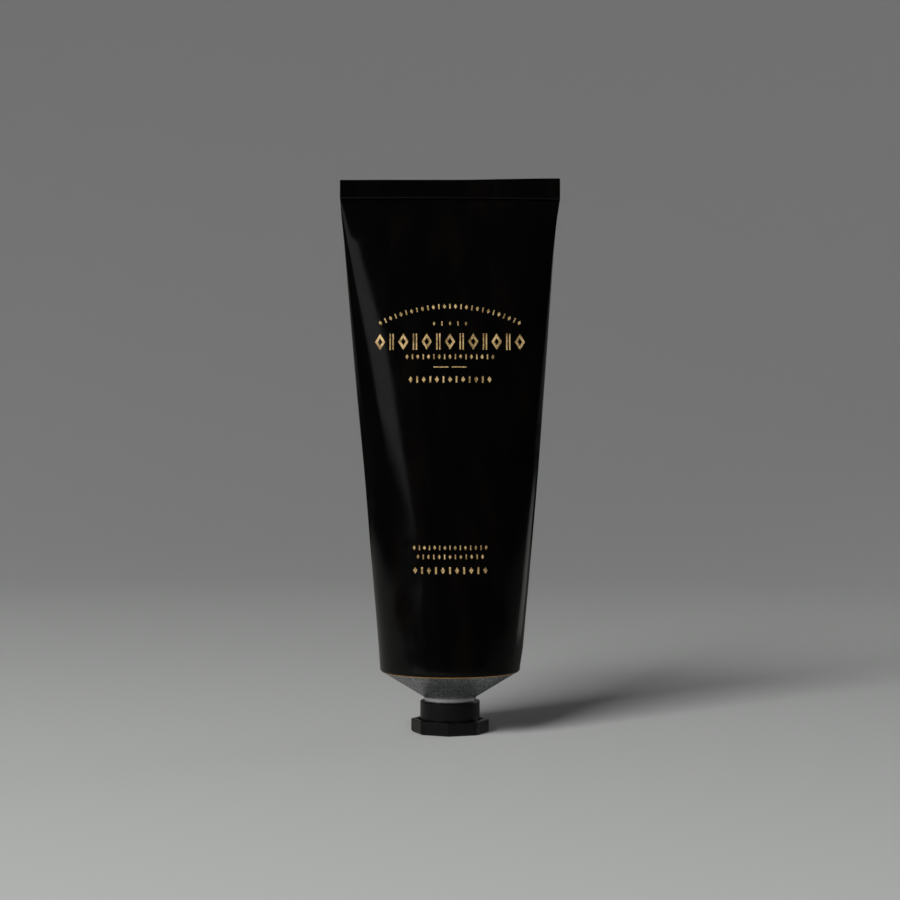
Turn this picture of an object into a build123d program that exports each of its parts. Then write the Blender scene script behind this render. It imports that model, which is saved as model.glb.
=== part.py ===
from build123d import *
import os
from math import asin, cos, degrees, pi, radians, tan

# A collapsible aluminium tube standing upside down on its octagonal screw cap.
# Millimetres, +Z up, origin at the middle of the cap's end face, front towards -Y.

# ---- sleeve, the flattened body of the tube
TUBE_DIAMETER = 40.0        # outside of the enamel where the sleeve is round
BODY_LENGTH = 134.4         # from the shoulder's corner to the foot of the end fold
WALL = 0.15                 # aluminium
COAT = 0.07                 # enamel outside it
CORNER_RADIUS = 1.2         # where sleeve and shoulder meet
FLARE = 0.03                # share of the widening that happens close to the fold
FLARE_POWER = 20            # how close to the fold that share is kept
CLOSING_POWER = 0.6         # how the filled sleeve thins towards the fold
LOFT_LEVELS = [0, 0.1, 0.22, 0.36, 0.5, 0.64, 0.77, 0.87, 0.94, 0.975, 0.993]
PAINT_EDGE_DROP = 0.45      # the enamel's edge below the shoulder's corner

# ---- end fold, three laps of the flattened sleeve
FOLD_HEIGHT = 5.5
SEAL = 0.08                 # sealing compound between the two walls of a lap
LAP_GAP = 0.04              # air between neighbouring laps
FREE_END = 0.6              # the rolled-in end stops this far below the upper turn

# ---- shoulder and neck
SHOULDER_ANGLE = 31.5       # slope from the horizontal, degrees
SHOULDER_THICKNESS = 0.6
NECK_DIAMETER = 14.8        # over the thread
NECK_LENGTH = 6.2
NECK_SHOWING = 0.9          # plain neck between the shoulder and the cap's rim
NECK_WALL = 1.1             # between the thread's root and the bore
NECK_END_WALL = 1.0
NOZZLE_BORE = 6.0           # hole through the neck's end wall
MEMBRANE = 0.15             # closes the nozzle until it is pierced
NECK_CHAMFER = 0.3
NECK_PLAIN_IN_CAP = 0.4     # unthreaded neck inside the cap's mouth

# ---- thread, right-handed, one start
THREAD_PITCH = 1.5
THREAD_DEPTH = 0.7
RIDGE_CREST = 0.3           # axial width of the neck's ridge at its crest, as a share of the pitch
RIDGE_ROOT = 0.6            # and where it meets the neck
CAP_RIDGE_CREST = 0.2
CAP_RIDGE_ROOT = 0.43
THREAD_GAP = 0.15           # radial clearance between the neck and the cap's bore
CREST_GAP = 0.2             # radial clearance between the cap's ridge and the neck's core
RIDGE_SINK = 0.15           # how far a ridge is let into its wall
THREAD_LEAD = 0.15          # the neck's ridge starts this far above the neck's end
THREAD_RUN_OUT = 0.1        # and stops this far short of the plain neck

# ---- cap
COLLAR_WALL = 0.95
COLLAR_ROUNDING = 0.35
MOUTH_CHAMFER = 0.2
MOAT_WIDTH = 0.3            # between the collar and the flats of the flange's rim
MOAT_DEPTH = 1.8
RIM_WALL = 1.5
RIM_ROUNDING = 0.2
FLANGE_HEIGHT = 3.8
FLANGE_CHAMFER = 0.5
FLANGE_SIDES = 8
FLANGE_CORNER = 0.6         # rounding of the upright edges, more than the chamfer
CAP_TURN = -2.5             # degrees from a corner facing straight to the front
END_WALL = 1.0
RECESS_DEPTH = 2.0          # hollow end that takes the neck when the cap pierces it
RECESS_GAP = 0.3            # radial room around the neck in that hollow
SPIKE_ROOT = 1.6            # radius of the piercing spike at its root
SPIKE_TIP = 0.15
SPIKE_SHY = 0.2             # the tip stands this far inside the end face
LINER_THICKNESS = 0.8
LINER_GAP = 0.25

# ---- fill
CREAM_GAP = 0.15            # room between the cream and the metal
CAVITY_STOP = 0.5           # the sleeve's hollow ends this far below the fold
SEAL_SPACE = 2.0            # and the cream this far below it

# ---- gold ornament on the front, rows of lozenges and bars
PRINT = 0.05                # thickness of the gold
UPPER_GROUP_DROP = 41.12    # the main row below the foot of the end fold
LOWER_GROUP_RISE = 33.08    # the lower group's middle row above the shoulder's corner
LOZENGE_SHAPE = 0.62        # width of a lozenge over its height
BAR_SHAPE = 0.26            # width of a bar over its height
# each row: height above its group's middle, width, number of marks, height of a mark
UPPER_ROWS = [
    (5.1, 9.0, 5, 1.2),
    (0.0, 39.2, 13, 4.6),
    (-4.3, 24.0, 17, 1.4),
    (-10.7, 22.0, 13, 1.8),
]
LOWER_ROWS = [
    (2.5, 20.0, 15, 1.3),
    (0.0, 18.0, 13, 1.3),
    (-3.8, 19.6, 11, 1.9),
]
ARCH_CROWN = 10.0           # the arched row's top above the main row
ARCH_WIDTH = 39.0
ARCH_RISE = 4.6
ARCH_MARKS = 27
ARCH_MARK_HEIGHT = 1.4
RULE_DROP = 7.2             # the pair of short rules below the main row
RULE_LENGTH = 4.2
RULE_WIDTH = 0.3
RULE_SPACING = 5.0

# ---- places that follow from the sizes
tube_radius = TUBE_DIAMETER / 2
neck_radius = NECK_DIAMETER / 2
neck_core = neck_radius - THREAD_DEPTH
slope = tan(radians(SHOULDER_ANGLE))
cap_floor = RECESS_DEPTH + END_WALL
neck_end = cap_floor + LINER_THICKNESS
shoulder_base = neck_end + NECK_LENGTH
collar_top = shoulder_base - NECK_SHOWING
shoulder_corner = shoulder_base + (tube_radius - neck_radius) * slope
sleeve_start = shoulder_corner + CORNER_RADIUS
fold_foot = shoulder_corner + BODY_LENGTH
fold_top = fold_foot + FOLD_HEIGHT
lap = 2 * (WALL + COAT) + SEAL
lap_pitch = lap + LAP_GAP
fold_half_width = pi * tube_radius / 2
paint_edge = shoulder_corner - PAINT_EDGE_DROP

bore_radius = neck_radius + THREAD_GAP
collar_radius = bore_radius + COLLAR_WALL
rim_inside = collar_radius + MOAT_WIDTH
rim_outside = rim_inside + RIM_WALL
recess_radius = neck_radius + RECESS_GAP
cap_ridge_crest = neck_core + CREST_GAP

plain_neck_start = collar_top - NECK_PLAIN_IN_CAP
half_ridge = RIDGE_ROOT * THREAD_PITCH / 2
neck_thread_start = neck_end + THREAD_LEAD + half_ridge
thread_end = plain_neck_start - THREAD_RUN_OUT - half_ridge

upper_group = fold_foot - UPPER_GROUP_DROP
lower_group = shoulder_corner + LOWER_GROUP_RISE
cavity_end = 1 - CAVITY_STOP / (fold_foot - sleeve_start)
cream_end = 1 - SEAL_SPACE / (fold_foot - sleeve_start)


def half_width(u):
    """Half the sleeve's width; u runs from 0 at its round end to 1 at the fold."""
    widening = (1 - FLARE) * u + FLARE * u ** FLARE_POWER
    return tube_radius + (fold_half_width - tube_radius) * widening


def half_depth(u):
    """Half the sleeve's thickness from front to back at the same place."""
    return lap / 2 + (tube_radius - lap / 2) * (1 - u) ** CLOSING_POWER


def height(u):
    return sleeve_start + (fold_foot - sleeve_start) * u


def cone_height(radius, inset):
    """Height of the shoulder's cone at a radius, moved inwards by inset."""
    return shoulder_base + (radius - neck_radius) * slope + inset / cos(radians(SHOULDER_ANGLE))


def sleeve_loft(inset, end_u):
    """The sleeve from its round end towards the fold, as a loft of ellipses."""
    levels = [u for u in LOFT_LEVELS if u < end_u] + [end_u]
    return loft([
        Pos(0, 0, height(u)) * Ellipse(half_width(u) - inset, half_depth(u) - inset)
        for u in levels
    ])


def sleeve_form(inset, cone_inset, end_u=1.0, corner=0.0):
    """Solid inside the sleeve and shoulder, moved inwards by the insets."""
    radius = tube_radius - inset
    outline = make_face(Plane.XZ * Polyline(
        (0, cone_height(0, cone_inset)),
        (radius, cone_height(radius, cone_inset)),
        (radius, sleeve_start),
        (0, sleeve_start),
        close=True,
    ))
    if corner > 0:
        edge_point = outline.vertices().sort_by(Axis.X)[-2:].sort_by(Axis.Z)[0]
        outline = fillet(edge_point, corner)
    return revolve(outline, Axis.Z) + sleeve_loft(inset, end_u)


def half_ring(radius, thickness, up):
    """Half a flat ring, the upper half or the lower one."""
    reach = radius + thickness / 2
    ring = Circle(reach) - Circle(radius - thickness / 2)
    middle = reach / 2 if up else -reach / 2
    return ring & Pos(0, middle) * Rectangle(2 * reach, reach)


def fold_band(thickness, width, free_end):
    """The rolled strip of the end fold: up, over to the front, down, and up inside."""
    turn_top = fold_top - lap / 2 - lap_pitch
    turn_low = fold_foot + lap / 2 + lap_pitch / 2
    laps = [
        (0, fold_foot, turn_top),
        (-2 * lap_pitch, turn_low, turn_top),
        (-lap_pitch, turn_low, turn_top - free_end),
    ]
    strip = Sketch() + [
        Pos(place, (low + high) / 2) * Rectangle(thickness, high - low)
        for place, low, high in laps
    ]
    strip += Pos(-lap_pitch, turn_top) * half_ring(lap_pitch, thickness, up=True)
    strip += Pos(-1.5 * lap_pitch, turn_low) * half_ring(lap_pitch / 2, thickness, up=False)
    return extrude(Plane.YZ * strip, width / 2, both=True)


def ridge(radius_in_wall, root_share, radius_crest, crest_share, start):
    """A helical ridge: a trapezoid carried round the axis by the thread's pitch."""
    path = Helix(THREAD_PITCH, thread_end - start, radius_crest, center=(0, 0, start))
    half_root = root_share * THREAD_PITCH / 2
    half_crest = crest_share * THREAD_PITCH / 2
    section = make_face(Plane.XZ * Polyline(
        (radius_in_wall, start - half_root),
        (radius_crest, start - half_crest),
        (radius_crest, start + half_crest),
        (radius_in_wall, start + half_root),
        close=True,
    ))
    return sweep(section, path, is_frenet=True)


def cylinder(radius, low, high):
    return Pos(0, 0, low) * Cylinder(radius, high - low, align=(Align.CENTER, Align.CENTER, Align.MIN))


def flange_prism(apothem, low, high, corner=0.0):
    outline = RegularPolygon(apothem, FLANGE_SIDES, major_radius=False)
    if corner > 0:
        outline = fillet(outline.vertices(), corner)
    return Pos(0, 0, low) * extrude(Rot(0, 0, CAP_TURN) * outline, high - low)


def sleeve_band(inset):
    """The fold's strip with its faces and its ends moved inwards."""
    return fold_band(lap - 2 * inset, 2 * (fold_half_width - inset), FREE_END)


def outside(inset):
    """The whole tube's outside above the neck, moved inwards by inset."""
    corner = CORNER_RADIUS - inset
    return sleeve_form(inset, inset, corner=corner) + sleeve_band(inset)


def make_end_seal():
    return fold_band(SEAL, 2 * (fold_half_width - COAT - WALL), FREE_END + WALL)


def make_neck():
    """Neck with its thread, still solid."""
    core = cylinder(neck_core, neck_end, shoulder_base + 1)
    core = chamfer(core.edges().group_by(Axis.Z)[0], NECK_CHAMFER)
    plain = cylinder(neck_radius, plain_neck_start, cone_height(neck_radius, COAT))
    thread = ridge(
        neck_core - RIDGE_SINK, RIDGE_ROOT, neck_radius, RIDGE_CREST, neck_thread_start,
    )
    return core + plain + thread


def make_cavity(gap, end_u):
    """Hollow of the tube, or with a gap the cream in it."""
    inset = COAT + WALL + gap
    hollow = sleeve_form(inset, COAT + SHOULDER_THICKNESS + gap, end_u=end_u)
    neck_bore = neck_core - NECK_WALL
    neck_top = cone_height(neck_bore, COAT + SHOULDER_THICKNESS + gap)
    bore_low = neck_end + NECK_END_WALL + gap
    return hollow + cylinder(neck_bore - gap, bore_low, neck_top)


def make_tube_shell():
    nozzle = cylinder(NOZZLE_BORE / 2, neck_end + MEMBRANE, neck_end + NECK_END_WALL)
    return outside(COAT) + make_neck() - make_cavity(0, cavity_end) - nozzle - make_end_seal()


def make_enamel_coat():
    half_plate = Box(
        4 * fold_half_width, 4 * tube_radius, paint_edge,
        align=(Align.CENTER, Align.CENTER, Align.MIN),
    )
    return outside(0) - outside(COAT) - half_plate


def make_cream():
    return make_cavity(CREAM_GAP, cream_end)


def make_cap_shell():
    flange = flange_prism(rim_outside, 0, FLANGE_HEIGHT, FLANGE_CORNER)
    flange = chamfer(flange.edges().group_by(Axis.Z)[0], FLANGE_CHAMFER)
    flange -= flange_prism(rim_inside, FLANGE_HEIGHT - MOAT_DEPTH, FLANGE_HEIGHT)
    flange = fillet(flange.edges().group_by(Axis.Z)[-1], RIM_ROUNDING)
    collar = cylinder(collar_radius, 0, collar_top)
    collar = fillet(collar.edges().group_by(Axis.Z)[-1], COLLAR_ROUNDING)
    shell = flange + collar - cylinder(bore_radius, cap_floor, collar_top)
    mouth = Pos(0, 0, collar_top - MOUTH_CHAMFER) * Cone(
        bore_radius, bore_radius + MOUTH_CHAMFER, MOUTH_CHAMFER,
        align=(Align.CENTER, Align.CENTER, Align.MIN),
    )
    shell -= mouth
    shell -= cylinder(recess_radius, 0, RECESS_DEPTH)
    spike = Pos(0, 0, SPIKE_SHY) * Cone(
        SPIKE_TIP, SPIKE_ROOT, RECESS_DEPTH - SPIKE_SHY,
        align=(Align.CENTER, Align.CENTER, Align.MIN),
    )
    thread = ridge(
        bore_radius + RIDGE_SINK, CAP_RIDGE_ROOT, cap_ridge_crest, CAP_RIDGE_CREST,
        neck_thread_start + THREAD_PITCH / 2,
    )
    return shell + spike + thread


def make_cap_liner():
    return cylinder(bore_radius - LINER_GAP, cap_floor, cap_floor + LINER_THICKNESS)


def mark(index, tall):
    """Lozenges and bars take turns along a row."""
    if index % 2:
        return Rectangle(BAR_SHAPE * tall, tall)
    half_wide = LOZENGE_SHAPE * tall / 2
    return Polygon((half_wide, 0), (0, tall / 2), (-half_wide, 0), (0, -tall / 2))


def straight_row(middle, width, count, tall):
    step = width / (count - 1)
    return [Pos(step * i - width / 2, middle) * mark(i, tall) for i in range(count)]


def arched_row(crown):
    """Marks on a circular arc, each standing square to it."""
    half_width_of_arch = ARCH_WIDTH / 2
    radius = (half_width_of_arch ** 2 + ARCH_RISE ** 2) / (2 * ARCH_RISE)
    reach = degrees(asin(half_width_of_arch / radius))
    step = 2 * reach / (ARCH_MARKS - 1)
    return [
        Pos(0, crown - radius) * Rot(0, 0, reach - step * i)
        * Pos(0, radius) * mark(i, ARCH_MARK_HEIGHT)
        for i in range(ARCH_MARKS)
    ]


def make_gold_print():
    """Every mark is a prism through the front, cut to a thin layer on the enamel."""
    marks = arched_row(upper_group + ARCH_CROWN)
    for rise, width, count, tall in UPPER_ROWS:
        marks += straight_row(upper_group + rise, width, count, tall)
    for rise, width, count, tall in LOWER_ROWS:
        marks += straight_row(lower_group + rise, width, count, tall)
    for side in (-1, 1):
        place = Pos(side * RULE_SPACING / 2, upper_group - RULE_DROP)
        marks.append(place * Rectangle(RULE_LENGTH, RULE_WIDTH))
    layer = sleeve_loft(-PRINT, 1) - sleeve_loft(0, 1)
    return Compound([
        solid
        for outline in marks
        for solid in (layer & extrude(Plane.XZ * outline, tube_radius + 1)).solids()
    ])


pieces = {
    "tube_shell": make_tube_shell(),
    "enamel_coat": make_enamel_coat(),
    "gold_print": make_gold_print(),
    "end_seal": make_end_seal(),
    "cream": make_cream(),
    "cap_shell": make_cap_shell(),
    "cap_liner": make_cap_liner(),
}
os.makedirs("parts", exist_ok=True)
for name, solid in pieces.items():
    export_step(solid, f"parts/{name}.step")
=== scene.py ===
"""A black enamelled aluminium cream tube on its octagonal cap, dressed around the CAD frame.

All lengths are metres in the CAD frame: +Z up, the tube's front towards -Y.
"""
import math

import bpy
import numpy as np
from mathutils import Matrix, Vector, noise


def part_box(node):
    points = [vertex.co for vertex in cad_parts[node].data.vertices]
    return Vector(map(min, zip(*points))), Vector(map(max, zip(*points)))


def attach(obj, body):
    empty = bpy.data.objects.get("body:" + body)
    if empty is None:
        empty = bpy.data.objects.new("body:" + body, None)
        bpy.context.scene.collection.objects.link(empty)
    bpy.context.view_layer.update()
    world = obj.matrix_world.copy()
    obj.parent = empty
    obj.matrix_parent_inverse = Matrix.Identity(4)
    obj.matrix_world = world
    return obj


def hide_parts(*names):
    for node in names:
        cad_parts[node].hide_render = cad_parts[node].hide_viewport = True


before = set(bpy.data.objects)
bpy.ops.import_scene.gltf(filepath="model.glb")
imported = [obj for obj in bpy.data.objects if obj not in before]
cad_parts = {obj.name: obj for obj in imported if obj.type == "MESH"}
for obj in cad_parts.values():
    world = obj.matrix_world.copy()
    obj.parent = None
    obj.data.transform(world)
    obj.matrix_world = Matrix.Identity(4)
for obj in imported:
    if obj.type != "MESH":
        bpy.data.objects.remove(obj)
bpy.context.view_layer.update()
coat_low, coat_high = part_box("enamel_coat")
shell_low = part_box("tube_shell")[0]
cap_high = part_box("cap_shell")[1]

MM = 0.001

# ---- sizes read from the frame
TUBE_RADIUS = coat_high.y
FOLD_HALF_WIDTH = coat_high.x
FOLD_TOP = coat_high.z
PAINT_EDGE = coat_low.z
NECK_END = shell_low.z
COLLAR_TOP = cap_high.z

# ---- sizes of the CAD model that its boxes don't give
WALL = 0.15 * MM
COAT = 0.07 * MM
SEAL = 0.08 * MM
LAP_GAP = 0.04 * MM
FREE_END = 0.6 * MM
FOLD_HEIGHT = 5.5 * MM
CORNER_RADIUS = 1.2 * MM
PAINT_EDGE_DROP = 0.45 * MM
FLARE = 0.03
FLARE_POWER = 20
CLOSING_POWER = 0.6
SHOULDER_ANGLE = math.radians(31.5)
SHOULDER_THICKNESS = 0.6 * MM
NECK_RADIUS = 7.4 * MM
NECK_BORE_RADIUS = 5.6 * MM
NECK_END_WALL = 1.0 * MM
NECK_CHAMFER = 0.3 * MM
NECK_PLAIN_IN_CAP = 0.4 * MM
NOZZLE_RADIUS = 3.0 * MM
MEMBRANE = 0.15 * MM
THREAD_DEPTH = 0.7 * MM
THREAD_PITCH = 1.5 * MM
THREAD_TURNS = 2.5
THREAD_FOOT = 0.6 * MM      # the ridge's middle starts this far above the neck's end
RIDGE_CREST = 0.45 * MM
RIDGE_ROOT = 0.9 * MM
CREAM_GAP = 0.15 * MM
SEAL_SPACE = 2.0 * MM

# ---- places that follow from them
lap = 2 * (WALL + COAT) + SEAL
lap_pitch = lap + LAP_GAP
slope = math.tan(SHOULDER_ANGLE)
shoulder_corner = PAINT_EDGE + PAINT_EDGE_DROP
shoulder_base = shoulder_corner - (TUBE_RADIUS - NECK_RADIUS) * slope
sleeve_start = shoulder_corner + CORNER_RADIUS
fold_foot = FOLD_TOP - FOLD_HEIGHT

AROUND = 288                # points round a ring
POLE_RADIUS = 0.05 * MM     # a ring this small closes an end
angles = np.linspace(0, 2 * math.pi, AROUND, endpoint=False)


# ---- the sleeve's form

def half_width(u):
    """Half the sleeve's width; u runs from 0 at its round end to 1 at the fold."""
    widening = (1 - FLARE) * u + FLARE * u ** FLARE_POWER
    return TUBE_RADIUS + (FOLD_HALF_WIDTH - TUBE_RADIUS) * widening


def half_depth(u):
    """Half the sleeve's thickness from front to back at the same place."""
    return lap / 2 + (TUBE_RADIUS - lap / 2) * (1 - u) ** CLOSING_POWER


def height(u):
    return sleeve_start + (fold_foot - sleeve_start) * u


# Soft dents pressed into the metal: side (-1 front, 1 back), x, z, reach across, reach along,
# tilt in degrees and depth.
DENTS = [
    (-1, -17 * MM, 62 * MM, 5 * MM, 17 * MM, 18, 0.30 * MM),
    (-1, -12 * MM, 42 * MM, 4 * MM, 9 * MM, -25, 0.22 * MM),
    (-1, 15 * MM, 38 * MM, 6 * MM, 12 * MM, 20, 0.28 * MM),
    (-1, 22 * MM, 92 * MM, 6 * MM, 18 * MM, -12, 0.25 * MM),
    (-1, -24 * MM, 108 * MM, 5 * MM, 14 * MM, 10, 0.15 * MM),
    (-1, 26 * MM, 141 * MM, 4 * MM, 8 * MM, 35, 0.30 * MM),
    (-1, -26 * MM, 143 * MM, 4 * MM, 7 * MM, -35, 0.24 * MM),
    (1, -8 * MM, 70 * MM, 9 * MM, 20 * MM, 15, 0.30 * MM),
    (1, 14 * MM, 104 * MM, 8 * MM, 16 * MM, -20, 0.28 * MM),
    (1, 10 * MM, 36 * MM, 6 * MM, 10 * MM, 40, 0.22 * MM),
    (1, -22 * MM, 128 * MM, 6 * MM, 12 * MM, 25, 0.26 * MM),
    (1, 25 * MM, 142 * MM, 4 * MM, 8 * MM, -30, 0.26 * MM),
]
WAVE_SIZE = 24 * MM
WAVE_DEPTH = 0.16 * MM
DENT_FADE = 4 * MM          # a dent fades over this depth where the sleeve's front turns to its back
STILL_ZONE = 5 * MM         # dents and fullness fade out this near the round end and the fold
DEEPEST_SHARE = 0.6         # no dent takes more of the sleeve's half thickness

# Where the filled sleeve stands fuller than the plain form: side (-1 left, 1 right), middle
# height, reach along the sleeve and how far its side is pushed out.
FULL_SIDES = [
    (-1, 122 * MM, 40 * MM, 0.34 * MM),
    (1, 62 * MM, 52 * MM, 0.66 * MM),
]


def away_from_ends(z):
    """0 at the sleeve's round end and at the fold, 1 from the still zones inwards."""
    return np.clip(np.minimum(z - sleeve_start, fold_foot - z) / STILL_ZONE, 0, 1)


def dent_depth(x, y, z):
    """How far the metal is pressed in at points of the sleeve."""
    depth = np.zeros_like(x)
    for side, x0, z0, across, along, tilt, deep in DENTS:
        turn = math.radians(tilt)
        dx = (x - x0) * math.cos(turn) + (z - z0) * math.sin(turn)
        dz = (z - z0) * math.cos(turn) - (x - x0) * math.sin(turn)
        facing = np.clip(0.5 + side * y / DENT_FADE, 0, 1)
        depth += deep * facing * np.exp(-(dx / across) ** 2 - (dz / along) ** 2)
    waves = np.array([
        noise.noise(Vector(point) / WAVE_SIZE)
        for point in zip(x, y * 1.5, z * 0.7)
    ])
    depth += WAVE_DEPTH * (0.5 + 0.5 * waves)
    return depth * away_from_ends(z) ** 2


def side_push(turn, z):
    """How far the sleeve's sides stand out beyond the plain form, along X."""
    push = np.zeros_like(z)
    for side, z0, reach, full in FULL_SIDES:
        facing = np.clip(side * np.cos(turn), 0, 1) ** 2
        push += side * full * facing * np.exp(-((z - z0) / reach) ** 4)
    return push * away_from_ends(z)


def sleeve_points(turn, u, inset):
    """Points of the dented sleeve at angles round it, moved inwards by inset."""
    across = half_width(u) - inset
    deep = half_depth(u) - inset
    x = across * np.cos(turn)
    y = deep * np.sin(turn)
    z = np.full_like(x, height(u))
    nx = deep * np.cos(turn)
    ny = across * np.sin(turn)
    size = np.hypot(nx, ny) + 1e-12
    outer_x = half_width(u) * np.cos(turn)
    outer_y = half_depth(u) * np.sin(turn)
    depth = np.minimum(dent_depth(outer_x, outer_y, z), DEEPEST_SHARE * deep)
    push = side_push(turn, z)
    return np.stack([x + push - depth * nx / size, y - depth * ny / size, z], axis=1)


def round_ring(radius, z):
    """A level ring. radius is one number, or one for each of its points."""
    return np.stack([radius * np.cos(angles), radius * np.sin(angles), np.full(AROUND, z)], axis=1)


SLEEVE_STEPS = np.concatenate([np.linspace(0, 0.9, 66), np.linspace(0.908, 1, 30)])


def sleeve_rings(inset, end_u=1.0):
    """Rings of the sleeve from its round end to end_u, closest together near the fold."""
    levels = [u for u in SLEEVE_STEPS if u < end_u] + [end_u]
    return [sleeve_points(angles, u, inset) for u in levels]


def corner_rings(inset, low_z):
    """From a level on the shoulder's cone round the corner to the sleeve's start."""
    rise = inset / math.cos(SHOULDER_ANGLE)
    low_radius = NECK_RADIUS + (low_z - rise - shoulder_base) / slope
    rings = [round_ring(low_radius, low_z)]
    turn = math.pi / 2 - SHOULDER_ANGLE
    radius = CORNER_RADIUS - inset
    middle = (TUBE_RADIUS - CORNER_RADIUS, shoulder_corner + CORNER_RADIUS * math.tan(turn / 2))
    for bend in np.linspace(-turn, 0, 12):
        r = middle[0] + radius * math.cos(bend)
        z = middle[1] + radius * math.sin(bend)
        if z > low_z:
            rings.append(round_ring(r, z))
    return rings


# ---- mesh building

def new_object(name, vertices, faces):
    mesh = bpy.data.meshes.new(name)
    mesh.from_pydata([tuple(v) for v in vertices], [], faces)
    mesh.update()
    obj = bpy.data.objects.new(name, mesh)
    bpy.context.scene.collection.objects.link(obj)
    mesh.polygons.foreach_set("use_smooth", [True] * len(mesh.polygons))
    return obj


def ring_faces(count, size, closed=False):
    """Quads between neighbouring rings, and from the last back to the first if closed."""
    faces = []
    for k in range(count if closed else count - 1):
        a = k * size
        b = ((k + 1) % count) * size
        for i in range(size):
            j = (i + 1) % size
            faces.append((a + i, a + j, b + j, b + i))
    return faces


def closed_by_ends(rings):
    """Rings joined into a closed surface, whose first and last ring are filled."""
    last = (len(rings) - 1) * AROUND
    faces = ring_faces(len(rings), AROUND)
    faces.append(tuple(reversed(range(AROUND))))
    faces.append(tuple(range(last, last + AROUND)))
    return np.concatenate(rings), faces


def join_parts(parts):
    """Several (vertices, faces) lists as one."""
    vertices, faces, offset = [], [], 0
    for part_vertices, part_faces in parts:
        vertices.append(np.asarray(part_vertices))
        faces += [tuple(i + offset for i in face) for face in part_faces]
        offset += len(part_vertices)
    return np.concatenate(vertices), faces


def set_sharp(obj, degrees):
    obj.data.set_sharp_from_angle(angle=math.radians(degrees))


# ---- the rolled end fold

FOLD_ROOT = 0.3 * MM        # the strip starts this far below the fold, inside the sleeve
EDGE_LIFT = 0.40 * MM       # the fold's top edge rises this much towards the right
LOWER_DROP = 0.30 * MM      # and its lower edge falls this much
FOLD_WAVE = 0.12 * MM
FOLD_COLUMNS = 90
SIDE_CURL = math.radians(78)  # how far round the band's sides are rounded


def fold_line():
    """The fold's path in the Y-Z plane: up, over to the front, down, and up inside."""
    turn_top = FOLD_TOP - lap / 2 - lap_pitch
    turn_low = fold_foot + lap / 2 + lap_pitch / 2
    points = [(0.0, z) for z in np.linspace(fold_foot - FOLD_ROOT, turn_top, 14)]
    for bend in np.linspace(0, math.pi, 17)[1:]:
        points.append((
            -lap_pitch + lap_pitch * math.cos(bend),
            turn_top + lap_pitch * math.sin(bend),
        ))
    points += [(-2 * lap_pitch, z) for z in np.linspace(turn_top, turn_low, 12)[1:]]
    for bend in np.linspace(math.pi, 2 * math.pi, 13)[1:]:
        points.append((
            -1.5 * lap_pitch + 0.5 * lap_pitch * math.cos(bend),
            turn_low + 0.5 * lap_pitch * math.sin(bend),
        ))
    points += [(-lap_pitch, z) for z in np.linspace(turn_low, turn_top - FREE_END, 10)[1:]]
    return np.array(points)


def fold_shift(x, z):
    """Unevenness of the crimp in Y and Z: its edges aren't quite straight."""
    across = x / FOLD_HALF_WIDTH
    right = np.clip((across + 0.1) / 1.1, 0, 1)
    up = np.clip((z - fold_foot) / FOLD_HEIGHT, 0, 1)
    lift = EDGE_LIFT * right * right * (3 - 2 * right) * up
    drop = LOWER_DROP * right * (1 - up) ** 2
    bow = FOLD_WAVE * (np.sin(across * 5.1 + 0.7) + 0.5 * np.sin(across * 12.7)) * up
    return bow, lift - drop


def ribbon(thickness, half_wide, outward=True):
    """The fold's strip as a closed band with rounded sides."""
    line = fold_line()
    steps = np.gradient(line, axis=0)
    steps /= np.linalg.norm(steps, axis=1)[:, None]
    normal = np.stack([steps[:, 1], -steps[:, 0]], axis=1)
    half = thickness / 2
    inner = np.linspace(-(half_wide - half), half_wide - half, FOLD_COLUMNS)
    curl = np.linspace(0, SIDE_CURL, 6)[1:]
    columns = [(-(half_wide - half) - half * math.sin(c), math.cos(c)) for c in reversed(curl)]
    columns += [(x, 1.0) for x in inner]
    columns += [(half_wide - half + half * math.sin(c), math.cos(c)) for c in curl]
    loops = []
    for x, thin in columns:
        side_a = line + normal * half * thin
        side_b = line - normal * half * thin
        loop = np.concatenate([side_a, side_b[::-1]])
        dy, dz = fold_shift(x, loop[:, 1])
        loops.append(np.stack([np.full(len(loop), x), loop[:, 0] + dy, loop[:, 1] + dz], axis=1))
    size = len(loops[0])
    faces = ring_faces(len(loops), size)
    half_size = size // 2
    last = (len(loops) - 1) * size
    for k in range(half_size - 1):
        a, b, c, d = k, k + 1, size - 2 - k, size - 1 - k
        faces.append((a, b, c, d))
        faces.append((last + d, last + c, last + b, last + a))
    vertices = np.concatenate(loops)
    if not outward:
        faces = [tuple(reversed(face)) for face in faces]
    return vertices, faces


# ---- pieces of the tube

def make_enamel():
    """Skin of enamel over sleeve, corner and fold."""
    outer = corner_rings(0, PAINT_EDGE) + sleeve_rings(0)
    inner = corner_rings(COAT, PAINT_EDGE) + sleeve_rings(COAT)
    rings = outer + inner[::-1]
    skin = np.concatenate(rings), ring_faces(len(rings), AROUND, closed=True)
    fold_out = ribbon(lap, FOLD_HALF_WIDTH)
    fold_in = ribbon(lap - 2 * COAT, FOLD_HALF_WIDTH - COAT, outward=False)
    vertices, faces = join_parts([skin, fold_out, fold_in])
    obj = new_object("enamel_skin", vertices, faces)
    set_sharp(obj, 40)
    return obj


THREAD_RUN_IN = 0.08        # turns over which the ridge rises from its ends


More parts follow.
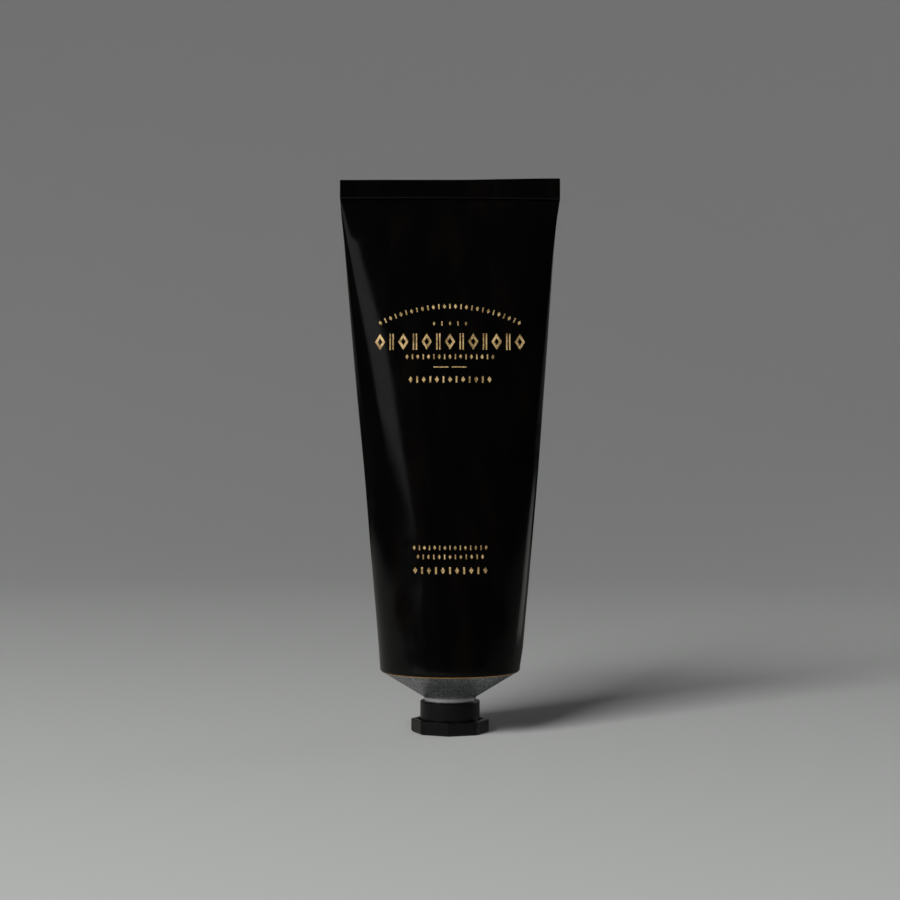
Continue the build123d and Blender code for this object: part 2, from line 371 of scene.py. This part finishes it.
def thread_height(z):
    """Height of the right-hand thread's ridge over the neck's core, round a level ring."""
    start = NECK_END + THREAD_FOOT
    turned = angles / (2 * math.pi)
    along = np.round((z - start) / THREAD_PITCH - turned) + turned
    off = np.abs(z - (start + THREAD_PITCH * along))
    flank = (RIDGE_ROOT - RIDGE_CREST) / 2
    ridge = np.clip((RIDGE_ROOT / 2 - off) / flank, 0, 1)
    run_in = np.clip(np.minimum(along, THREAD_TURNS - along) / THREAD_RUN_IN, 0, 1)
    return THREAD_DEPTH * ridge * run_in


NECK_ROOT = 0.25 * MM       # rounding where the neck runs into the shoulder
NECK_ROOT_DROP = 0.14 * MM  # it starts this far below the shoulder's cone
THREAD_STEP = 0.07 * MM     # rings of the threaded neck are this far apart
THREAD_MARGIN = 0.02 * MM   # and keep this far from its ends
PLAIN_EDGE = 0.05 * MM      # bevel where the plain neck starts
CONE_STOP = 0.1 * MM        # the bare cone's rings end this far short of the enamel's edge
SLEEVE_INSIDE_END = 0.996   # share of the sleeve's length that is hollow
CREAM_TOP_SHARE = 0.02      # size of the ring that closes the cream's top


def cone_ring(r, rise):
    """A ring of the shoulder's cone, raised by rise."""
    return round_ring(r, shoulder_base + rise + (r - NECK_RADIUS) * slope)


def neck_rings():
    """Outside of the neck, from the middle of the membrane up to the shoulder."""
    core = NECK_RADIUS - THREAD_DEPTH
    plain_start = COLLAR_TOP - NECK_PLAIN_IN_CAP
    thread_low = NECK_END + NECK_CHAMFER + THREAD_MARGIN
    rings = [
        round_ring(POLE_RADIUS, NECK_END),
        round_ring(NOZZLE_RADIUS, NECK_END),
        round_ring(core - NECK_CHAMFER, NECK_END),
        round_ring(core, NECK_END + NECK_CHAMFER),
    ]
    for z in np.arange(thread_low, plain_start - THREAD_MARGIN, THREAD_STEP):
        rings.append(round_ring(core + thread_height(z), z))
    rings += [
        round_ring(core, plain_start),
        round_ring(NECK_RADIUS - PLAIN_EDGE, plain_start),
        round_ring(NECK_RADIUS, plain_start + PLAIN_EDGE),
    ]
    return rings


def shoulder_rings():
    """Outside of the shoulder, from the neck to just short of the enamel's edge."""
    rise = COAT / math.cos(SHOULDER_ANGLE)
    root_low = shoulder_base + rise - NECK_ROOT_DROP
    rings = []
    for share in np.linspace(0, 1, 6):
        bend = share * (math.pi / 2 - SHOULDER_ANGLE)
        r = NECK_RADIUS + NECK_ROOT * (1 - math.cos(bend))
        rings.append(round_ring(r, root_low + NECK_ROOT * math.sin(bend)))
    paint_radius = NECK_RADIUS + (PAINT_EDGE - rise - shoulder_base) / slope
    for r in np.linspace(NECK_RADIUS + 2 * NECK_ROOT, paint_radius - CONE_STOP, 40):
        rings.append(cone_ring(r, rise))
    return rings


def inside_rings():
    """Inside of the metal, from the fold down to the membrane."""
    rise = (COAT + SHOULDER_THICKNESS) / math.cos(SHOULDER_ANGLE)
    end_inside = NECK_END + NECK_END_WALL
    rings = sleeve_rings(COAT + WALL, end_u=SLEEVE_INSIDE_END)[::-1]
    for r in np.linspace(TUBE_RADIUS - COAT - WALL, NECK_BORE_RADIUS, 24):
        rings.append(cone_ring(r, rise))
    rings += [
        round_ring(NECK_BORE_RADIUS, end_inside),
        round_ring(NOZZLE_RADIUS, end_inside),
        round_ring(NOZZLE_RADIUS, NECK_END + MEMBRANE),
        round_ring(POLE_RADIUS, NECK_END + MEMBRANE),
    ]
    return rings


def make_aluminium():
    """The metal: membrane, threaded neck, shoulder and sleeve as one closed shell, and the fold."""
    outside = neck_rings() + shoulder_rings() + corner_rings(COAT, PAINT_EDGE) + sleeve_rings(COAT)
    shell = closed_by_ends(outside + inside_rings())
    strip = ribbon(lap - 2 * COAT, FOLD_HALF_WIDTH - COAT)
    hollow = ribbon(SEAL, FOLD_HALF_WIDTH - COAT - WALL, outward=False)
    vertices, faces = join_parts([shell, strip, hollow])
    obj = new_object("aluminium_tube", vertices, faces)
    set_sharp(obj, 32)
    return obj


def make_cream():
    """The fill, a little clear of the metal."""
    inset = COAT + WALL + CREAM_GAP
    rise = (COAT + SHOULDER_THICKNESS + CREAM_GAP) / math.cos(SHOULDER_ANGLE)
    bore = NECK_BORE_RADIUS - CREAM_GAP
    low = NECK_END + NECK_END_WALL + CREAM_GAP
    rings = [round_ring(POLE_RADIUS, low), round_ring(bore, low)]
    rings += [cone_ring(r, rise) for r in np.linspace(bore, TUBE_RADIUS - inset, 20)]
    rings += sleeve_rings(inset, end_u=1 - SEAL_SPACE / (fold_foot - sleeve_start))
    rings.append(rings[-1] * np.array([CREAM_TOP_SHARE, CREAM_TOP_SHARE, 1.0]))
    obj = new_object("cream_fill", *closed_by_ends(rings))
    set_sharp(obj, 30)
    return obj


def make_seal():
    """The compound rolled up between the fold's two walls."""
    obj = new_object("seal_band", *ribbon(SEAL, FOLD_HALF_WIDTH - COAT - WALL))
    set_sharp(obj, 40)
    return obj


# ---- the gold ornament

PRINT = 0.04 * MM           # the marks stand this proud of the enamel
PRINT_SINK = 0.01 * MM      # and are let this far into it
UPPER_GROUP = fold_foot - 41.12 * MM
LOWER_GROUP = shoulder_corner + 33.08 * MM
LOZENGE_SHAPE = 0.62
BAR_SHAPE = 0.26
OPEN_FROM = 3.0 * MM        # marks taller than this aren't solid
OPEN_SHARE = 0.48           # opening of a tall lozenge
SLIM_SHARE = 0.31           # width of each half of a tall bar, as a share of the bar
# each row, in millimetres: height above its group's middle, width, number of marks, mark height
UPPER_ROWS = [
    (5.1, 9.0, 5, 1.2),
    (0.0, 39.2, 13, 4.6),
    (-4.3, 24.0, 17, 1.4),
    (-10.7, 22.0, 13, 1.8),
]
LOWER_ROWS = [
    (2.5, 20.0, 15, 1.3),
    (0.0, 18.0, 13, 1.3),
    (-3.8, 19.6, 11, 1.9),
]
ARCH_CROWN = 10.0           # the arched row's top above the main row, in millimetres as below
ARCH_WIDTH = 39.0
ARCH_RISE = 4.6
ARCH_MARKS = 27
ARCH_MARK_HEIGHT = 1.4
RULE_DROP = 7.2             # the pair of short rules below the main row
RULE_LENGTH = 4.2
RULE_WIDTH = 0.3
RULE_SPACING = 5.0


def front_points(x, z, proud):
    """Points on the front of the dented sleeve, standing proud of it."""
    points = []
    for px, pz in zip(x, z):
        u = (pz - sleeve_start) / (fold_foot - sleeve_start)
        turn = -math.acos(np.clip(px / half_width(u), -1, 1))
        points.append(sleeve_points(np.array([turn]), u, -proud)[0])
    return np.array(points)


def patch(outline, middle_x, middle_z, turn=0.0):
    """A thin raised mark. outline is a grid of (x, z) points round the mark's middle."""
    rows, columns = outline.shape[:2]
    flat = outline.reshape(-1, 2)
    x = middle_x + flat[:, 0] * math.cos(turn) - flat[:, 1] * math.sin(turn)
    z = middle_z + flat[:, 0] * math.sin(turn) + flat[:, 1] * math.cos(turn)
    top = front_points(x, z, PRINT)
    low = front_points(x, z, -PRINT_SINK)
    count = len(flat)
    faces = []
    for r in range(rows - 1):
        for c in range(columns - 1):
            a = r * columns + c
            quad = (a, a + 1, a + columns + 1, a + columns)
            faces.append(quad)
            faces.append(tuple(count + i for i in reversed(quad)))
    border = list(range(columns))
    border += [r * columns + columns - 1 for r in range(1, rows)]
    border += [(rows - 1) * columns + c for c in range(columns - 2, -1, -1)]
    border += [r * columns for r in range(rows - 2, 0, -1)]
    for k, a in enumerate(border):
        b = border[(k + 1) % len(border)]
        faces.append((b, a, count + a, count + b))
    return np.concatenate([top, low]), faces


def bar_grid(wide, tall, columns=3, rows=4):
    """A grid of points over an upright bar."""
    across = np.linspace(-wide / 2, wide / 2, columns)
    up = np.linspace(-tall / 2, tall / 2, rows)
    return np.stack(np.meshgrid(across, up), axis=-1)


def lozenge_grid(wide, tall, size=5):
    """A grid turned 45 degrees, so that its corners are the lozenge's."""
    s, t = np.meshgrid(np.linspace(-0.5, 0.5, size), np.linspace(-0.5, 0.5, size))
    return np.stack([(s - t) * wide / 2, (s + t) * tall / 2], axis=-1)


def open_lozenge(wide, tall):
    """Four strips round a lozenge-shaped opening."""
    corners = [(wide / 2, 0.0), (0.0, tall / 2), (-wide / 2, 0.0), (0.0, -tall / 2)]
    strips = []
    for k in range(4):
        start, end = np.array(corners[k]), np.array(corners[(k + 1) % 4])
        side = [start + (end - start) * t for t in np.linspace(0, 1, 4)]
        strips.append(np.stack([side, [OPEN_SHARE * point for point in side]])[::-1])
    return strips


def mark_grids(index, tall):
    """Grids of a mark: tall lozenges are open and tall bars are double."""
    wide = (BAR_SHAPE if index % 2 else LOZENGE_SHAPE) * tall
    if tall < OPEN_FROM:
        return [bar_grid(wide, tall) if index % 2 else lozenge_grid(wide, tall)]
    if index % 2:
        slim = SLIM_SHARE * wide
        return [bar_grid(slim, tall) + (side * (wide - slim) / 2, 0) for side in (-1, 1)]
    return open_lozenge(wide, tall)


def straight_row(middle, rise, wide, count, tall):
    step = wide / (count - 1)
    marks = []
    for i in range(count):
        x = (step * i - wide / 2) * MM
        marks += [patch(grid, x, middle + rise * MM) for grid in mark_grids(i, tall * MM)]
    return marks


def arched_row():
    """Marks on a circular arc, each standing square to it."""
    radius = (ARCH_WIDTH ** 2 / 4 + ARCH_RISE ** 2) / (2 * ARCH_RISE)
    reach = math.asin(ARCH_WIDTH / 2 / radius)
    marks = []
    for i in range(ARCH_MARKS):
        turn = reach - 2 * reach * i / (ARCH_MARKS - 1)
        x = -radius * math.sin(turn) * MM
        z = UPPER_GROUP + (ARCH_CROWN - radius + radius * math.cos(turn)) * MM
        marks += [patch(grid, x, z, turn) for grid in mark_grids(i, ARCH_MARK_HEIGHT * MM)]
    return marks


def short_rules():
    rule = bar_grid(RULE_LENGTH * MM, RULE_WIDTH * MM, columns=8, rows=2)
    z = UPPER_GROUP - RULE_DROP * MM
    return [patch(rule, side * RULE_SPACING / 2 * MM, z) for side in (-1, 1)]


def make_gold():
    """All rows of the ornament as one thin piece."""
    parts = []
    for row in UPPER_ROWS:
        parts += straight_row(UPPER_GROUP, *row)
    for row in LOWER_ROWS:
        parts += straight_row(LOWER_GROUP, *row)
    parts += arched_row() + short_rules()
    obj = new_object("gold_ornament", *join_parts(parts))
    set_sharp(obj, 40)
    return obj


# ---- materials

class Recipe:
    """A material under construction: its Principled shader and shorthand for nodes."""

    def __init__(self, name, **sockets):
        self.material = bpy.data.materials.new(name)
        self.material.use_nodes = True
        self.tree = self.material.node_tree
        self.shader = self.tree.nodes["Principled BSDF"]
        for socket, value in sockets.items():
            self.shader.inputs[socket.replace("_", " ")].default_value = value
        coordinates = self.tree.nodes.new("ShaderNodeTexCoord")
        self.place = coordinates.outputs["Object"]

    def link(self, source, target):
        self.tree.links.new(source, target)

    def node(self, kind, **settings):
        made = self.tree.nodes.new(kind)
        for key, value in settings.items():
            setattr(made, key, value)
        return made

    def noise(self, size, detail=4.0, roughness=0.5, place=None):
        """Noise whose blotches are about size metres across."""
        made = self.node("ShaderNodeTexNoise")
        made.inputs["Scale"].default_value = 1 / size
        made.inputs["Detail"].default_value = detail
        made.inputs["Roughness"].default_value = roughness
        self.link(place or self.place, made.inputs["Vector"])
        return made.outputs["Fac"]

    def ramp(self, value, low, high, low_out=0.0, high_out=1.0):
        """low_out where value is low, high_out where it is high, and even between."""
        made = self.node("ShaderNodeMapRange")
        self.link(value, made.inputs["Value"])
        made.inputs["From Min"].default_value = low
        made.inputs["From Max"].default_value = high
        made.inputs["To Min"].default_value = low_out
        made.inputs["To Max"].default_value = high_out
        return made.outputs["Result"]

    def math(self, operation, a, b):
        made = self.node("ShaderNodeMath", operation=operation)
        for socket, value in zip(made.inputs, (a, b)):
            if hasattr(value, "node"):
                self.link(value, socket)
            else:
                socket.default_value = value
        return made.outputs["Value"]

    def mix(self, share, a, b):
        """Colour a where share is 0 and b where it is 1."""
        made = self.node("ShaderNodeMix", data_type="RGBA")
        self.link(share, made.inputs["Factor"])
        for socket, value in ((made.inputs[6], a), (made.inputs[7], b)):
            if hasattr(value, "node"):
                self.link(value, socket)
            else:
                socket.default_value = (*value, 1.0)
        return made.outputs[2]

    def colour(self, value):
        self.link(value, self.shader.inputs["Base Color"])

    def roughness(self, value):
        self.link(value, self.shader.inputs["Roughness"])

    def bump(self, *layers):
        """Each layer is (height value, depth in metres)."""
        normal = None
        for value, depth in layers:
            made = self.node("ShaderNodeBump")
            made.inputs["Strength"].default_value = 1.0
            made.inputs["Distance"].default_value = depth
            self.link(value, made.inputs["Height"])
            if normal is not None:
                self.link(normal, made.inputs["Normal"])
            normal = made.outputs["Normal"]
        self.link(normal, self.shader.inputs["Normal"])

    def from_axis(self):
        """Distance from the tube's axis, and height."""
        split = self.node("ShaderNodeSeparateXYZ")
        self.link(self.place, split.inputs["Vector"])
        x, y, z = (split.outputs[axis] for axis in "XYZ")
        squares = self.math("ADD", self.math("MULTIPLY", x, x), self.math("MULTIPLY", y, y))
        return self.math("SQRT", squares, 0.0), z


def enamel_material():
    """Baked gloss enamel with faint orange peel, smudges and a thin golden line at its edge."""
    r = Recipe("black_enamel", IOR=1.40)
    _, z = r.from_axis()
    edge = r.math("ADD", z, r.math("MULTIPLY", r.noise(1.2 * MM, 2), 0.12 * MM))
    stretched = r.node("ShaderNodeVectorMath", operation="MULTIPLY")
    r.link(r.place, stretched.inputs[0])
    stretched.inputs[1].default_value = (1.0, 1.0, 0.25)
    smudge = r.ramp(r.noise(7 * MM, 5, 0.6, place=stretched.outputs["Vector"]), 0.45, 0.72)
    body = r.mix(smudge, (0.0009, 0.0009, 0.0010), (0.0026, 0.0019, 0.0015))
    at_edge = r.ramp(edge, PAINT_EDGE + 0.36 * MM, PAINT_EDGE + 0.24 * MM)
    r.colour(r.mix(at_edge, body, (0.62, 0.34, 0.09)))
    r.roughness(r.ramp(r.noise(6 * MM, 6, 0.6), 0.3, 0.7, 0.11, 0.19))
    r.bump((r.noise(1.1 * MM, 2), 0.004 * MM), (r.noise(14 * MM, 1), 0.05 * MM))
    return r.material


def aluminium_material():
    """Bare spun aluminium: fine turning rings, a dull speckle and soft stains; brighter neck."""
    r = Recipe("spun_aluminium", Metallic=0.85, Anisotropic=0.35)
    radius, z = r.from_axis()
    rings = r.node("ShaderNodeCombineXYZ")
    r.link(radius, rings.inputs["X"])
    r.link(r.math("MULTIPLY", z, 0.6), rings.inputs["Z"])
    turned = r.noise(0.16 * MM, 3, 0.6, place=rings.outputs["Vector"])
    speckle = r.noise(0.5 * MM, 6, 0.75)
    stain = r.noise(5 * MM, 3)
    dull = r.math("ADD", r.math("MULTIPLY", turned, 0.25), r.math("MULTIPLY", speckle, 0.75))
    polished = r.ramp(radius, NECK_RADIUS + 0.9 * MM, NECK_RADIUS + 0.4 * MM)
    bright = r.math("MAXIMUM", r.ramp(dull, 0.43, 0.60), r.math("MULTIPLY", polished, 0.85))
    r.colour(r.mix(bright, (0.24, 0.255, 0.28), (0.98, 0.98, 1.0)))
    rough = r.math("ADD", r.ramp(dull, 0.36, 0.64, 0.18, 0.32), r.ramp(stain, 0.3, 0.7, -0.03, 0.04))
    r.roughness(r.math("MULTIPLY", rough, r.ramp(polished, 0, 1, 1.0, 0.5)))
    grain = r.math("MULTIPLY", speckle, r.ramp(polished, 0, 1, 1.0, 0.2))
    r.bump((turned, 0.006 * MM), (grain, 0.035 * MM))
    return r.material


def gold_material():
    """Gold foil print, slightly broken and rubbed."""
    r = Recipe("gold_foil", Metallic=0.25)
    broken = r.noise(0.28 * MM, 4, 0.7)
    rubbed = r.noise(2.6 * MM, 3)
    worn = r.math("ADD", r.math("MULTIPLY", broken, 0.75), r.math("MULTIPLY", rubbed, 0.25))
    r.colour(r.mix(r.ramp(worn, 0.44, 0.55), (0.83, 0.585, 0.275), (0.15, 0.09, 0.03)))
    r.roughness(r.ramp(worn, 0.35, 0.65, 0.25, 0.5))
    r.bump((broken, 0.01 * MM))
    return r.material


def cap_material():
    """Moulded black polypropylene with a fine satin grain."""
    r = Recipe("cap_plastic", IOR=1.49)
    soft = r.noise(3.5 * MM, 4)
    grain = r.noise(0.14 * MM, 3, 0.6)
    r.colour(r.mix(soft, (0.0016, 0.0017, 0.0021), (0.0034, 0.0035, 0.0038)))
    satin = r.ramp(soft, 0.3, 0.7, 0.20, 0.28)
    r.roughness(r.math("ADD", satin, r.ramp(grain, 0.3, 0.7, -0.03, 0.05)))
    r.bump((grain, 0.006 * MM), (soft, 0.02 * MM))
    return r.material


def cream_material():
    """Thick white cream."""
    r = Recipe("cream", Roughness=0.35, Subsurface_Weight=0.4, Subsurface_Scale=0.002)
    lumps = r.noise(4 * MM, 3)
    r.colour(r.mix(lumps, (0.86, 0.84, 0.78), (0.92, 0.90, 0.86)))
    r.bump((lumps, 0.1 * MM))
    return r.material


def foam_material():
    """Fine-celled white foam."""
    r = Recipe("liner_foam", Roughness=0.8)
    voronoi = r.node("ShaderNodeTexVoronoi")
    voronoi.inputs["Scale"].default_value = 1 / (0.22 * MM)
    r.link(r.place, voronoi.inputs["Vector"])
    cells = voronoi.outputs["Distance"]
    r.colour(r.mix(r.ramp(cells, 0.1, 0.7), (0.62, 0.62, 0.60), (0.80, 0.80, 0.78)))
    r.bump((cells, 0.03 * MM))
    return r.material


def seal_material():
    """Brown sealing compound."""
    r = Recipe("seal_compound", Roughness=0.55)
    r.colour(r.mix(r.noise(1.5 * MM), (0.42, 0.28, 0.10), (0.55, 0.40, 0.18)))
    return r.material


def paint(obj, material):
    obj.data.materials.clear()
    obj.data.materials.append(material)


# ---- put the pieces on the frame

def add_piece(obj, material, replaced):
    paint(obj, material)
    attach(obj, "tube")
    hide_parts(replaced)


add_piece(make_enamel(), enamel_material(), "enamel_coat")
add_piece(make_aluminium(), aluminium_material(), "tube_shell")
add_piece(make_cream(), cream_material(), "cream")
add_piece(make_seal(), seal_material(), "end_seal")
add_piece(make_gold(), gold_material(), "gold_print")
for node, material in (("cap_shell", cap_material()), ("cap_liner", foam_material())):
    paint(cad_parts[node], material)


# ---- floor, light and camera

STAGE_RADIUS = 2.9
STAGE_HEIGHT = 2.2
FLOOR_RADII = (0.01, 0.3)       # of the floor's inner rings
COVE_RADIUS = 2.2               # between floor and wall
CARD_AZIMUTHS = (-51, 129)      # left front and right back, seen from above
PANEL_HALF_ANGLE = 10           # of a floor panel below a card, degrees
PANEL_NEAR = 0.24
PANEL_FAR = 1.1
PANEL_LIFT = 0.05 * MM
DIM_FLOOR_LIFT = 0.02 * MM
HORIZON_SHARE = 0.97            # the horizon's radius as a share of the wall's
HORIZON_LOW = 0.05
HORIZON_HEIGHT = 0.75
HORIZON_COLUMNS = 48


def backdrop_material():
    """Pale paper, painted paler towards the wall: painted light that lifts the wall so that floor and
    wall read as one.
    """
    r = Recipe("pale_paper", Roughness=0.75, Specular_IOR_Level=0.2)
    radius, _ = r.from_axis()
    outwards = r.math("ADD", radius, r.math("MULTIPLY", r.noise(0.5, 3), 0.1))
    # painted light: the colour rises from the floor's middle out to the wall, in place of a lamp on
    # the wall
    r.colour(r.mix(r.ramp(outwards, 0.3, 2.6), (0.52, 0.53, 0.52), (0.68, 0.69, 0.68)))
    return r.material


def dim_floor_material():
    """What gloss sees of the floor: painted lighter on the side of the key light, with a faint painted
    bluish glow for the room's light.
    """
    # the faint emission is a painted glow standing in for light from the room around
    r = Recipe("dim_paper_painted_light", Roughness=0.75, Specular_IOR_Level=0.2, Emission_Strength=0.022)
    split = r.node("ShaderNodeSeparateXYZ")
    r.link(r.place, split.inputs["Vector"])
    # painted light: lighter towards the key light's side (-X), darker on the far side
    r.colour(r.mix(r.ramp(split.outputs["X"], -0.06, 0.05), (0.25, 0.245, 0.23), (0.09, 0.086, 0.078)))
    r.shader.inputs["Emission Color"].default_value = (0.92, 0.97, 1.0, 1.0)
    return r.material


def glow_material(name, strength):
    """A surface that only glows."""
    r = Recipe(name, Roughness=1.0, Emission_Strength=strength)
    r.shader.inputs["Base Color"].default_value = (0.0, 0.0, 0.0, 1.0)
    r.shader.inputs["Emission Color"].default_value = (1.0, 1.0, 0.97, 1.0)
    return r.material


def floor_panels():
    """Two wedges on the floor below the cards, which carry their streaks on for a raised camera."""
    corners = (
        (-PANEL_HALF_ANGLE, PANEL_NEAR),
        (PANEL_HALF_ANGLE, PANEL_NEAR),
        (PANEL_HALF_ANGLE, PANEL_FAR),
        (-PANEL_HALF_ANGLE, PANEL_FAR),
    )
    vertices = []
    for middle in CARD_AZIMUTHS:
        for azimuth, reach in corners:
            way = math.radians(middle + azimuth)
            vertices.append((reach * math.sin(way), -reach * math.cos(way), PANEL_LIFT))
    return vertices, [(0, 1, 2, 3), (4, 5, 6, 7)]


def stage_rings():
    """The floor's three flat rings, the cove and the top of the wall."""
    cove_start = STAGE_RADIUS - COVE_RADIUS
    rings = [round_ring(r, 0.0) for r in (*FLOOR_RADII, cove_start)]
    for bend in np.linspace(0, math.pi / 2, 16)[1:]:
        r = cove_start + COVE_RADIUS * math.sin(bend)
        rings.append(round_ring(r, COVE_RADIUS - COVE_RADIUS * math.cos(bend)))
    rings.append(round_ring(STAGE_RADIUS, STAGE_HEIGHT))
    return rings


def open_bowl(rings):
    """Rings joined into an open surface, whose first ring is filled."""
    faces = ring_faces(len(rings), AROUND) + [tuple(reversed(range(AROUND)))]
    return np.concatenate(rings), faces


def horizon_strip():
    """A low band along the back of the wall."""
    behind = np.linspace(math.radians(20), math.radians(160), HORIZON_COLUMNS)
    edge = HORIZON_SHARE * STAGE_RADIUS * np.stack([np.cos(behind), np.sin(behind)], axis=1)
    vertices = [(x, y, z) for z in (HORIZON_LOW, HORIZON_HEIGHT) for x, y in edge]
    faces = [
        (i, i + 1, i + 1 + HORIZON_COLUMNS, i + HORIZON_COLUMNS)
        for i in range(HORIZON_COLUMNS - 1)
    ]
    return vertices, faces


def make_stage():
    """A pale floor that sweeps up into a round wall.

    Gloss doesn't see it, but a dimmer floor with two glowing panels and a faint horizon.
    """
    rings = stage_rings()
    backdrop = new_object("backdrop", *open_bowl(rings))
    paint(backdrop, backdrop_material())
    backdrop.visible_glossy = False
    floor_points, floor_faces = open_bowl(rings[:3])
    dim_floor = new_object("dim_floor", floor_points + (0, 0, DIM_FLOOR_LIFT), floor_faces)
    paint(dim_floor, dim_floor_material())
    horizon = new_object("dim_horizon", *horizon_strip())
    paint(horizon, glow_material("horizon_glow", strength=0.13))
    floor_glow = new_object("floor_glow", *floor_panels())
    paint(floor_glow, glow_material("panel_glow", strength=0.40))
    for seen_in_gloss in (dim_floor, horizon, floor_glow):
        seen_in_gloss.visible_camera = False
        seen_in_gloss.visible_diffuse = False
        seen_in_gloss.visible_shadow = False


LIGHT_AIM = (0, 0, 0.08)


def area_light(name, azimuth, elevation, distance, size, power, shown_in_gloss):
    """A soft box turned to LIGHT_AIM. Azimuth is measured from the camera's side, to the right."""
    data = bpy.data.lights.new(name, "AREA")
    data.shape = "RECTANGLE"
    data.size, data.size_y = size
    data.energy = power
    obj = bpy.data.objects.new(name, data)
    bpy.context.scene.collection.objects.link(obj)
    a, e = math.radians(azimuth), math.radians(elevation)
    way = Vector((math.sin(a) * math.cos(e), -math.cos(a) * math.cos(e), math.sin(e)))
    obj.location = Vector(LIGHT_AIM) + way * distance
    obj.rotation_mode = "QUATERNION"
    obj.rotation_quaternion = way.to_track_quat("Z", "Y")
    obj.visible_glossy = shown_in_gloss
    obj.visible_camera = False


make_stage()
area_light(
    "key", azimuth=-31, elevation=33, distance=1.7, size=(0.75, 0.75), power=31,
    shown_in_gloss=False,
)
area_light(
    "overhead", azimuth=0, elevation=90, distance=2.1, size=(3.0, 3.0), power=2,
    shown_in_gloss=False,
)
for card, card_azimuth in zip(("left_card", "back_card"), CARD_AZIMUTHS):
    area_light(
        card, azimuth=card_azimuth, elevation=20.5, distance=1.1, size=(0.42, 0.62), power=0.46,
        shown_in_gloss=True,
    )

world = bpy.data.worlds.new("studio")
world.use_nodes = True
world.node_tree.nodes["Background"].inputs["Color"].default_value = (0.004, 0.004, 0.0042, 1.0)
bpy.context.scene.world = world
bpy.context.scene.view_settings.view_transform = "Standard"

CAMERA_DISTANCE = 0.600
CAMERA_HEIGHT = 0.0805
LENS = 84.0
SENSOR_WIDTH = 36.0
camera_data = bpy.data.cameras.new("camera")
camera_data.sensor_width = SENSOR_WIDTH
camera_data.lens = LENS
camera = bpy.data.objects.new("camera", camera_data)
camera.location = (0.0, -CAMERA_DISTANCE, CAMERA_HEIGHT)
camera.rotation_euler = (math.radians(90), 0.0, 0.0)
bpy.context.scene.collection.objects.link(camera)
bpy.context.scene.camera = camera
